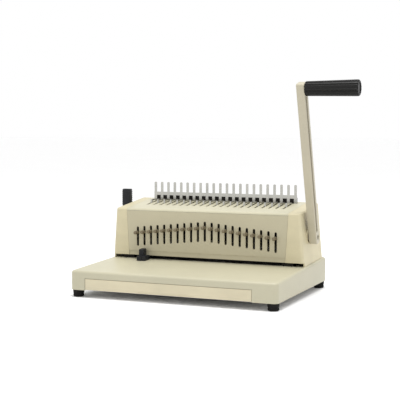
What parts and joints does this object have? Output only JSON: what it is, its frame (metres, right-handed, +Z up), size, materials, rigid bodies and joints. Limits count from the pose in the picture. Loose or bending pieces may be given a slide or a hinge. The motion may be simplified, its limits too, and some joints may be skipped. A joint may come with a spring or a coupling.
{
  "type": "comb binding machine",
  "caption": "Desk comb binding machine: wide low base with paper deck and chip drawer, punch head with a row of pull pins, upright comb tines and one side crank handle.",
  "frame": {"origin": "on the desk plane under the middle of the bounding box", "axes": "+X to the handle side along the punched edge, +Y from the operator to the back, +Z up"},
  "size_m": [0.5224, 0.3, 0.3952],
  "materials": {
    "cream": "satin painted",
    "cream_plastic": "satin moulded",
    "panel_paint": "satin painted",
    "drawer_plastic": "satin moulded",
    "black_plastic": "matte",
    "grip_plastic": "semi gloss fluted",
    "rubber": "matte",
    "arm_paint": "satin painted",
    "plated": "zinc plated",
    "dark_steel": "black oxide",
    "tool_steel": "ground",
    "pin_steel": "dull nickel",
    "bronze": "sintered bronze"
  },
  "bodies": {
    "machine": {"base_shell": "cream", "base_bottom_plate": "plated", "rubber_feet": "rubber", "foot_screws": "plated", "drawer_rails": "plated", "die_plate": "tool_steel", "throat_spacer": "dark_steel", "punch_guide": "tool_steel", "die_bolts": "dark_steel", "guide_posts": "tool_steel", "return_springs": "plated", "side_frame_left": "dark_steel", "side_frame_right": "dark_steel", "tie_rods": "plated", "shaft_bushings": "bronze", "top_deck": "cream", "front_panel": "panel_paint", "rear_cover": "cream", "end_cap_left": "cream_plastic", "end_cap_right": "cream_plastic", "cap_screws": "dark_steel", "comb_plate": "plated", "comb_rail": "dark_steel", "comb_plate_screws": "plated", "handle_bushing": "bronze"},
    "shaft": {"drive_shaft": "tool_steel", "press_cranks": "dark_steel"},
    "handle": {"handle_sleeve": "tool_steel", "handle_arm": "arm_paint", "handle_grip": "grip_plastic", "grip_bolt": "plated"},
    "press": {"press_bar": "dark_steel", "punches": "tool_steel"},
    "hooks": {"hook_plate": "plated"},
    "stop_lever": {"stop_lever": "black_plastic", "lever_spindle": "tool_steel"},
    "edge_guide": {"edge_guide": "black_plastic", "edge_guide_screw": "plated"},
    "drawer": {"chip_drawer": "drawer_plastic"},
    "pull_pin_01": {"pull_pin_01": "pin_steel"},
    "pull_pin_02": {"pull_pin_02": "pin_steel"},
    "pull_pin_03": {"pull_pin_03": "pin_steel"},
    "pull_pin_04": {"pull_pin_04": "pin_steel"},
    "pull_pin_05": {"pull_pin_05": "pin_steel"},
    "pull_pin_06": {"pull_pin_06": "pin_steel"},
    "pull_pin_07": {"pull_pin_07": "pin_steel"},
    "pull_pin_08": {"pull_pin_08": "pin_steel"},
    "pull_pin_09": {"pull_pin_09": "pin_steel"},
    "pull_pin_10": {"pull_pin_10": "pin_steel"},
    "pull_pin_11": {"pull_pin_11": "pin_steel"},
    "pull_pin_12": {"pull_pin_12": "pin_steel"},
    "pull_pin_13": {"pull_pin_13": "pin_steel"},
    "pull_pin_14": {"pull_pin_14": "pin_steel"},
    "pull_pin_15": {"pull_pin_15": "pin_steel"},
    "pull_pin_16": {"pull_pin_16": "pin_steel"},
    "pull_pin_17": {"pull_pin_17": "pin_steel"},
    "pull_pin_18": {"pull_pin_18": "pin_steel"},
    "pull_pin_19": {"pull_pin_19": "pin_steel"},
    "pull_pin_20": {"pull_pin_20": "pin_steel"},
    "pull_pin_21": {"pull_pin_21": "pin_steel"}
  },
  "joints": [
    {"name": "punch_pull", "type": "hinge", "parent": "machine", "child": "shaft", "pos_m": [-0.04825, 0.053, 0.108], "axis": [1, 0, 0], "range_deg": [0, 60]},
    {"name": "comb_open_push", "type": "hinge", "parent": "shaft", "child": "handle", "pos_m": [0.14875, 0.053, 0.108], "axis": [1, 0, 0], "range_deg": [-35, 0]},
    {"name": "press_stroke", "type": "slide", "parent": "machine", "child": "press", "axis": [0, 0, -1], "range_m": [0, 0.018], "deforming": ["return_springs"]},
    {"name": "hook_travel", "type": "slide", "parent": "machine", "child": "hooks", "axis": [0, -1, 0], "range_m": [0, 0.0186]},
    {"name": "stop_lever_turn", "type": "hinge", "parent": "machine", "child": "stop_lever", "pos_m": [-0.24525, 0.086, 0.138], "axis": [1, 0, 0], "range_deg": [-30, 30]},
    {"name": "edge_guide_slide", "type": "slide", "parent": "machine", "child": "edge_guide", "axis": [1, 0, 0], "range_m": [-0.0365, 0.05]},
    {"name": "drawer_pull", "type": "slide", "parent": "machine", "child": "drawer", "axis": [0, -1, 0], "range_m": [0, 0.17]},
    {"name": "pull_pin_01_pull", "type": "slide", "parent": "press", "child": "pull_pin_01", "axis": [0, -1, 0], "range_m": [0, 0.008]},
    {"name": "pull_pin_02_pull", "type": "slide", "parent": "press", "child": "pull_pin_02", "axis": [0, -1, 0], "range_m": [0, 0.008]},
    {"name": "pull_pin_03_pull", "type": "slide", "parent": "press", "child": "pull_pin_03", "axis": [0, -1, 0], "range_m": [0, 0.008]},
    {"name": "pull_pin_04_pull", "type": "slide", "parent": "press", "child": "pull_pin_04", "axis": [0, -1, 0], "range_m": [0, 0.008]},
    {"name": "pull_pin_05_pull", "type": "slide", "parent": "press", "child": "pull_pin_05", "axis": [0, -1, 0], "range_m": [0, 0.008]},
    {"name": "pull_pin_06_pull", "type": "slide", "parent": "press", "child": "pull_pin_06", "axis": [0, -1, 0], "range_m": [0, 0.008]},
    {"name": "pull_pin_07_pull", "type": "slide", "parent": "press", "child": "pull_pin_07", "axis": [0, -1, 0], "range_m": [0, 0.008]},
    {"name": "pull_pin_08_pull", "type": "slide", "parent": "press", "child": "pull_pin_08", "axis": [0, -1, 0], "range_m": [0, 0.008]},
    {"name": "pull_pin_09_pull", "type": "slide", "parent": "press", "child": "pull_pin_09", "axis": [0, -1, 0], "range_m": [0, 0.008]},
    {"name": "pull_pin_10_pull", "type": "slide", "parent": "press", "child": "pull_pin_10", "axis": [0, -1, 0], "range_m": [0, 0.008]},
    {"name": "pull_pin_11_pull", "type": "slide", "parent": "press", "child": "pull_pin_11", "axis": [0, -1, 0], "range_m": [0, 0.008]},
    {"name": "pull_pin_12_pull", "type": "slide", "parent": "press", "child": "pull_pin_12", "axis": [0, -1, 0], "range_m": [0, 0.008]},
    {"name": "pull_pin_13_pull", "type": "slide", "parent": "press", "child": "pull_pin_13", "axis": [0, -1, 0], "range_m": [0, 0.008]},
    {"name": "pull_pin_14_pull", "type": "slide", "parent": "press", "child": "pull_pin_14", "axis": [0, -1, 0], "range_m": [0, 0.008]},
    {"name": "pull_pin_15_pull", "type": "slide", "parent": "press", "child": "pull_pin_15", "axis": [0, -1, 0], "range_m": [0, 0.008]},
    {"name": "pull_pin_16_pull", "type": "slide", "parent": "press", "child": "pull_pin_16", "axis": [0, -1, 0], "range_m": [0, 0.008]},
    {"name": "pull_pin_17_pull", "type": "slide", "parent": "press", "child": "pull_pin_17", "axis": [0, -1, 0], "range_m": [0, 0.008]},
    {"name": "pull_pin_18_pull", "type": "slide", "parent": "press", "child": "pull_pin_18", "axis": [0, -1, 0], "range_m": [0, 0.008]},
    {"name": "pull_pin_19_pull", "type": "slide", "parent": "press", "child": "pull_pin_19", "axis": [0, -1, 0], "range_m": [0, 0.008]},
    {"name": "pull_pin_20_pull", "type": "slide", "parent": "press", "child": "pull_pin_20", "axis": [0, -1, 0], "range_m": [0, 0.008]},
    {"name": "pull_pin_21_pull", "type": "slide", "parent": "press", "child": "pull_pin_21", "axis": [0, -1, 0], "range_m": [0, 0.008]}
  ],
  "couplings": [
    {"joint": "punch_pull", "follows": "press_stroke", "rad_per_m": 58.178},
    {"joint": "comb_open_push", "follows": "hook_travel", "rad_per_m": -32.842}
  ]
}
